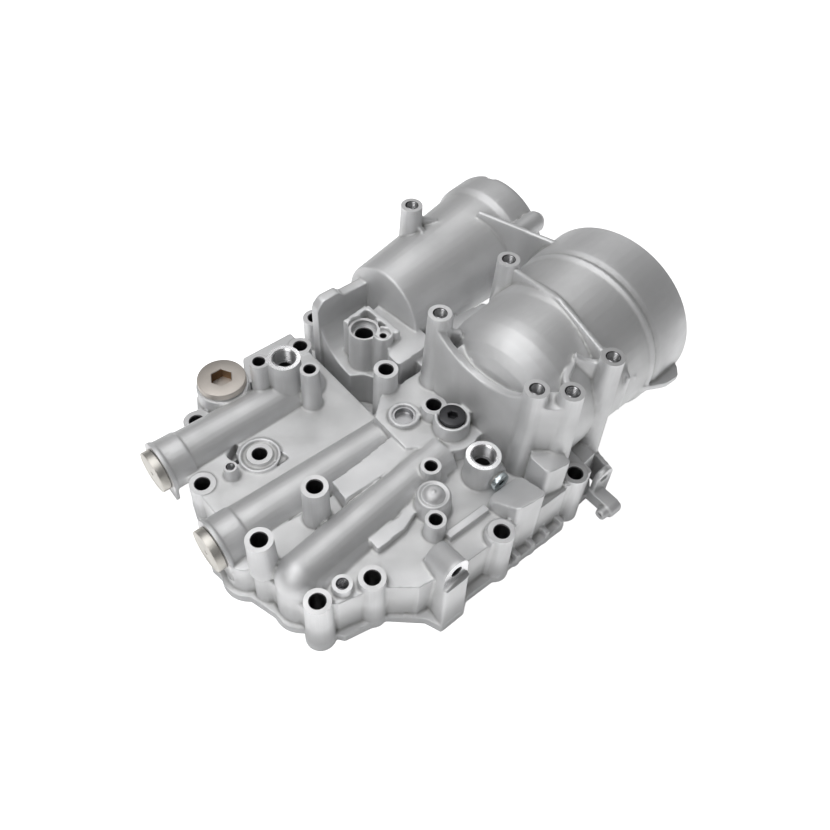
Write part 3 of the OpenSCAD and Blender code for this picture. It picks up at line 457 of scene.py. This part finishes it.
def metal(name, dark, light, rough, metallic=1.0, size=1.0, depth=1.0, bump=0.25):
    """A metal whose colour and roughness wander slowly and whose skin has the blasted grain."""
    m = bpy.data.materials.new(name)
    m.use_nodes = True
    n, link = m.node_tree.nodes, m.node_tree.links.new
    p = n["Principled BSDF"]
    g = n.new("ShaderNodeGroup")
    g.node_tree = GRAIN
    g.inputs["Size"].default_value = size
    g.inputs["Depth"].default_value = depth
    link(ramp(n, link, g.outputs["Tone"], ((0.3, dark), (0.7, light))), p.inputs["Base Color"])
    rr = n.new("ShaderNodeMapRange")
    link(g.outputs["Tone"], rr.inputs["Value"])
    for key, value in (("From Min", 0.3), ("From Max", 0.7), ("To Min", rough[1]), ("To Max", rough[0])):
        rr.inputs[key].default_value = value
    link(rr.outputs["Result"], p.inputs["Roughness"])
    b = n.new("ShaderNodeBump")
    b.inputs["Strength"].default_value = bump
    b.inputs["Distance"].default_value = GRAIN_DEPTH
    link(g.outputs["Height"], b.inputs["Height"])
    link(b.outputs["Normal"], p.inputs["Normal"])
    p.inputs["Metallic"].default_value = metallic
    return m


def cast_skin(name, dark, light, rough, metallic):
    """Blasted cast aluminium with painted shade: darker in its hollows, and lighter on its edges as a painted
    highlight.
    """
    m = metal(name, dark, light, rough, metallic)
    n, link = m.node_tree.nodes, m.node_tree.links.new
    p = n["Principled BSDF"]
    skin = p.inputs["Base Color"].links[0].from_socket
    where = n.new("ShaderNodeAttribute")
    where.attribute_name = "painted_shade_and_highlight"
    # Painted highlight and painted shade: edges keep the full skin colour, flat skin is a little darker, hollows
    # fall to a third.
    stops = ((0.25, (1, 1, 1)), (0.46, (0.90, 0.90, 0.90)), (0.54, (0.84, 0.84, 0.835)),
             (0.82, (0.34, 0.335, 0.32)))
    shade = ramp(n, link, where.outputs["Fac"], stops)
    mix = n.new("ShaderNodeMix")
    mix.data_type = "RGBA"
    mix.blend_type = "MULTIPLY"
    mix.inputs["Factor"].default_value = 1
    link(skin, mix.inputs["A"])
    link(shade, mix.inputs["B"])
    link(mix.outputs["Result"], p.inputs["Base Color"])
    return m


GRAIN_DEPTH = 0.00012
GRAIN = grain_group()
CAST = cast_skin("cast_skin", (0.78, 0.783, 0.79), (0.88, 0.883, 0.89), (0.52, 0.62), 0.8)
PLAIN_CAST = metal("cast_cap", (0.68, 0.682, 0.688), (0.77, 0.772, 0.777), (0.48, 0.58), 0.8)
MACHINED = metal("machined_metal", (0.64, 0.64, 0.645), (0.74, 0.74, 0.745), (0.40, 0.48), 0.85, 2.5, 0.6, 0.15)
BRIGHT_CUT = metal("bright_cut", (0.90, 0.90, 0.915), (0.96, 0.96, 0.97), (0.22, 0.28), 0.95, 2.5, 0.4, 0.08)
# Painted shade: the bores' walls are near black, in place of the shade that falls inside them.
PAINTED_BORE_SHADE = metal("bore_painted_shade", (0.10, 0.10, 0.105), (0.17, 0.17, 0.175), (0.45, 0.55))
STEEL = metal("ground_steel", (0.45, 0.45, 0.46), (0.55, 0.55, 0.56), (0.25, 0.35))
NICKEL = metal("pale_nickel", (0.56, 0.52, 0.48), (0.64, 0.60, 0.56), (0.50, 0.58))
SOCKET = metal("brown_socket", (0.25, 0.15, 0.08), (0.42, 0.28, 0.16), (0.45, 0.6), 0.8)
BLACK = metal("black_oxide", (0.035, 0.035, 0.038), (0.07, 0.07, 0.075), (0.30, 0.42), 0.6)
ZINC = metal("zinc_plating", (0.55, 0.62, 0.64), (0.70, 0.76, 0.78), (0.18, 0.28))
TURNED = metal("turned_aluminium", (0.58, 0.56, 0.52), (0.68, 0.66, 0.62), (0.40, 0.48))
SEALING = metal("soft_seal_ring", (0.50, 0.49, 0.48), (0.60, 0.59, 0.58), (0.34, 0.44))
PRESSED = metal("pressed_sheet", (0.42, 0.42, 0.43), (0.54, 0.54, 0.55), (0.34, 0.44))
RUBBER = metal("black_rubber", (0.012, 0.012, 0.012), (0.02, 0.02, 0.02), (0.55, 0.7), 0.0)
SPRING = metal("spring_wire", (0.16, 0.16, 0.17), (0.24, 0.24, 0.25), (0.30, 0.40))
THREAD = metal("cut_thread", (0.55, 0.55, 0.56), (0.68, 0.68, 0.69), (0.25, 0.35))


def dress(obj, material, slot, *nodes):
    """Give a piece its material, let it ride on the housing and stand for CAD nodes; its slot is not used."""
    obj.data.materials.clear()
    obj.data.materials.append(material)
    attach(obj, BODY)
    if nodes:
        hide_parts(*nodes)
    return obj


# ---------- small pieces ----------

def thread_sleeve(name, at, minor, major, pitch, depth):
    """Inside of an upright threaded bore:
    r = minor + (major - minor) * |2 frac(h / pitch - t / 2 pi) - 1|."""
    around, per_pitch = 40, 6
    rows = int(depth / pitch * per_pitch) + 1
    t = np.arange(around) / around * 2 * math.pi
    h = -np.arange(rows) * pitch / per_pitch
    u, v, w = frame_of(UP)
    phase = np.mod(h[:, None] / pitch - t[None, :] / (2 * math.pi), 1)
    r = minor + (major - minor) * abs(2 * phase - 1)
    outward_way = (np.cos(t)[:, None] * u + np.sin(t)[:, None] * v)[None]
    pts = np.asarray(at) + r[..., None] * outward_way + h[:, None, None] * w
    return new_object(name, pts.reshape(-1, 3), grid_faces(rows, around)[:, ::-1])


def threads():
    """The threads of the ports, posts and small tapped holes."""
    holes = [((x, y, top - 0.8), 8.2, 9.05, 1.5, PORT_DEPTH - 1) for x, y, top, _ in PORTS]
    holes += [((*at, POST_Z - 0.4), 4.25, 5.0, 1.5, 19) for at in POSTS]
    holes += [((*PLATE_STUD_AT, 51.7), 2.5, 3.0, 1.0, 11), ((*TAPPED_STUD_AT, 54.6), 3.4, 4.0, 1.25, 18)]
    for i, hole in enumerate(holes):
        dress(thread_sleeve(f"thread_{i}", *hole), THREAD, ALUMINIUM)


def socket_plug(name, at, axis, head_r, head_h, key, depth, thread_r, thread_l, edge=0.8):
    """Screw plug: hexagon socket in a round head, a shank below, all rings of one surface."""
    hexa = hexagon(key)
    top = 1.5 + head_h
    rings = [(0.01, top - depth), (lambda t: hexa(t) * 0.98, top - depth), (hexa, top - 0.5),
             (lambda t: hexa(t) + 0.5, top), (head_r - edge, top), (head_r - edge * 0.3, top - edge * 0.3),
             (head_r, top - edge), (head_r, 1.9), (head_r - 0.4, 1.5), (thread_r, 1.5),
             (thread_r, 0.2 - thread_l + 1), (thread_r - 0.9, -thread_l), (0.01, -thread_l)]
    return revolve(name, at, axis, rings, 96)


def split_socket(obj, at, axis, top, key, inner, outer):
    """Second material for the faces inside a plug's socket."""
    me = obj.data
    me.materials.clear()
    me.materials.append(outer)
    me.materials.append(inner)
    d = read(me.polygons, "center") / MM - np.asarray(at)
    h = d @ np.asarray(axis, float)
    r = np.linalg.norm(d - h[:, None] * np.asarray(axis, float), axis=1)
    me.polygons.foreach_set("material_index", ((h < top - 0.6) & (h > 0) & (r < key * 0.6)).astype(np.int32))
    me.set_sharp_from_angle(angle=math.radians(35))


def end_plug(name, node, at):
    """Turned end plug, in line with the bore: turning marks on its face, a fine step near its edge and a
    centre hole."""
    rings = [(0.01, 3.4), (1.4, 3.6), (1.5, 6.0), (2.3, 7)]
    rings += [(r, 7 - 0.05 * (i % 2)) for i, r in enumerate(np.linspace(2.6, 14.6, 25))]
    rings += [(15.1, 6.75), (15.5, 7), (16.6, 7), (17.1, 6.85), (17.3, 6.4), (17.3, 0.7), (17.0, 0.4),
              (14.97, 0.4), (14.97, -5), (13, -5), (13, -9), (14.97, -9), (14.97, -15), (13.97, -16), (0.01, -16)]
    obj = dress(revolve(name, at, (-1, 0, 0), rings, 96), TURNED, "plug_aluminium", node)
    obj.data.set_sharp_from_angle(angle=math.radians(40))


def valve_spring(name, node, at):
    """Coil spring between plug and piston: rings of wire round the helix
    (x0 + k t, rc sin 2 pi t, -rc cos 2 pi t)."""
    low, high = (np.array(corner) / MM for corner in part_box(node))
    wire, turns, sides, steps = 1.3, 7, 12, 28
    coil_r = (high[1] - low[1]) / 2 - wire
    t = np.linspace(0, turns, turns * steps + 1)[:, None]
    a = np.arange(sides)[None, :] / sides * 2 * math.pi
    r = coil_r + wire * np.cos(a)
    x = low[0] + wire + (high[0] - low[0] - 2 * wire) * t / turns + wire * np.sin(a)
    verts = np.stack([x, at[1] + r * np.sin(2 * math.pi * t), GALLERY_Z - r * np.cos(2 * math.pi * t)], -1)
    obj = new_object(name, verts.reshape(-1, 3), tube_faces(len(t), sides))
    outward(obj)
    obj.data.materials.append(SPRING)
    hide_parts(node)
    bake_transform(obj)


def plugs():
    """The three screw plugs, with their sockets, and the two end plugs."""
    end_plug("relief_plug_turned", "relief_end_plug", (*RELIEF_AT, GALLERY_Z))
    end_plug("bypass_plug_turned", "bypass_end_plug", (*BYPASS_AT, GALLERY_Z))
    large_at, large_key = (-50.7, 99.5, 54), 15.5
    big = socket_plug("large_plug", large_at, UP, 19.5, 6, large_key, 9, 13.5, 14, 1.2)
    dress(big, NICKEL, "nickel_plug", "large_screw_plug")
    split_socket(big, large_at, UP, 7.5, large_key, SOCKET, NICKEL)
    black = socket_plug("black_plug", (59.6, -53, 73), UP, 10.25, 4, 7, 5.5, 7, 14)
    dress(black, BLACK, "black_oxide", "black_screw_plug")
    black.data.set_sharp_from_angle(angle=math.radians(35))
    side = socket_plug("side_plug", (57.9, -107, 56.8), (0, -1, 0), 7.5, 4, 5, 4.5, 5, 6, 0.6)
    dress(side, ZINC, "zinc_plug", "side_screw_plug")
    side.data.set_sharp_from_angle(angle=math.radians(35))


def dome():
    """The column's cast top: a rounded rim, a shallow trough and a button with a small point, turned round."""
    rings = [(13.1, 62), (12.9, 65.6), (12.5, 66.6), (11.8, 67.2), (11, 67.3), (10, 66.9), (9.2, 66.3),
             (8.7, 66.3), (8.3, 66.8), (7.9, 67.9), (7.1, 69.2), (5.8, 70.3), (4.2, 71), (2.6, 71.2),
             (1.7, 71.3), (1, 71.7), (0.4, 71.9), (0.01, 71.95)]
    dress(revolve("dome_cap", (*DOME_AT, 0), UP, rings, 72), PLAIN_CAST, ALUMINIUM)


casting = cast_body()
split_materials(casting, CAST, MACHINED, BRIGHT_CUT, PAINTED_BORE_SHADE)
# Painted shade in the hollows and a painted highlight on the edges of the cast skin.
mark_painted_shade_and_highlight(casting.data)
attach(casting, BODY)
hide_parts("housing")
threads()
dome()
plugs()
valve_spring("relief_spring_wire", "relief_valve_spring", RELIEF_AT)
valve_spring("bypass_spring_wire", "bypass_valve_spring", BYPASS_AT)

for node, material in (("relief_valve_seat", STEEL), ("bypass_valve_seat", STEEL), ("relief_valve_piston", STEEL),
                       ("bypass_valve_piston", STEEL), ("relief_plug_ring", RUBBER),
                       ("bypass_plug_ring", RUBBER), ("large_plug_seal", SEALING), ("black_plug_seal", SEALING),
                       ("side_plug_seal", SEALING), ("core_plug", PRESSED)):
    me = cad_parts[node].data
    me.materials.clear()
    me.materials.append(material)


# ---------- floor, light and camera ----------

def plain_stage():
    """A wide white floor that keeps the object's shadow, and a white world. The floor glows for the camera,
    and less in mirror images from farther away than its own contact shadow."""
    wide, level = 9000, -0.3
    corners = [(-wide, -wide, level), (wide, -wide, level), (wide, wide, level), (-wide, wide, level)]
    floor = new_object("floor", corners, [(0, 1, 2, 3)])
    m = bpy.data.materials.new("floor_white")
    m.use_nodes = True
    n, link = m.node_tree.nodes, m.node_tree.links.new
    n.remove(n["Principled BSDF"])
    path = n.new("ShaderNodeLightPath")
    far = calculate(n, link, "GREATER_THAN", path.outputs["Ray Length"], 0.035)
    mirrored = calculate(n, link, "MULTIPLY", path.outputs["Is Glossy Ray"], far)
    softer = calculate(n, link, "MULTIPLY", mirrored, 0.7)
    seen = calculate(n, link, "MAXIMUM", path.outputs["Is Camera Ray"], softer)
    glow = n.new("ShaderNodeEmission")
    link(calculate(n, link, "MULTIPLY", seen, 0.88), glow.inputs["Strength"])
    soft = n.new("ShaderNodeBsdfDiffuse")
    soft.inputs["Color"].default_value = (0.85, 0.85, 0.85, 1)
    add = n.new("ShaderNodeAddShader")
    link(soft.outputs[0], add.inputs[0])
    link(glow.outputs[0], add.inputs[1])
    link(add.outputs[0], n["Material Output"].inputs["Surface"])
    floor.data.materials.append(m)
    world = bpy.data.worlds.new("studio")
    world.use_nodes = True
    bpy.context.scene.world = world
    n, link = world.node_tree.nodes, world.node_tree.links.new
    back = n["Background"]
    back.inputs["Color"].default_value = (1, 1, 1, 1)
    path = n.new("ShaderNodeLightPath")
    seen = calculate(n, link, "MAXIMUM", path.outputs["Is Camera Ray"], path.outputs["Is Transmission Ray"])
    strength = n.new("ShaderNodeMapRange")
    strength.inputs["To Min"].default_value = 0.14
    strength.inputs["To Max"].default_value = 1.0
    link(seen, strength.inputs["Value"])
    link(strength.outputs["Result"], back.inputs["Strength"])


def lamp(name, at, size, power):
    """A square soft box at a point, turned towards the object."""
    light = bpy.data.lights.new(name, "AREA")
    light.shape = "SQUARE"
    light.size = size
    light.energy = power
    obj = bpy.data.objects.new(name, light)
    bpy.context.scene.collection.objects.link(obj)
    obj.location = at
    obj.rotation_euler = (Vector((0.03, 0, 0.05)) - Vector(at)).to_track_quat("-Z", "Y").to_euler()


def photo_camera():
    """Camera of the photo: 830 pixels of focal length over 830 pixels, 51.45 degrees down, rolled 3.95 degrees."""
    tilt, roll, turn = math.radians(51.45), math.radians(3.95), math.radians(46.8)
    flat = math.cos(tilt)
    forward = Vector((flat * math.sin(math.pi / 2 - turn), flat * math.sin(turn), -math.sin(tilt)))
    right = Vector((math.sin(turn), -math.cos(turn), 0))
    up = right.cross(forward)
    right, up = right * math.cos(roll) + up * math.sin(roll), up * math.cos(roll) - right * math.sin(roll)
    cam = bpy.data.objects.new("camera", bpy.data.cameras.new("camera"))
    cam.data.lens = cam.data.sensor_width = 36
    cam.data.clip_start = 0.01
    cam.matrix_world = Matrix((
        (right.x, up.x, -forward.x, -0.230), (right.y, up.y, -forward.y, -0.320),
        (right.z, up.z, -forward.z, 0.568), (0, 0, 0, 1)))
    bpy.context.scene.collection.objects.link(cam)
    bpy.context.scene.camera = cam


plain_stage()
lamp("overhead", (-0.25, 0.25, 1.3), 1.2, 9)
lamp("back", (0.62, 0.66, 1.15), 0.5, 1.5)
lamp("fill", (-1.1, -0.3, 0.95), 0.8, 4)
photo_camera()
bpy.context.scene.view_settings.view_transform = "Standard"
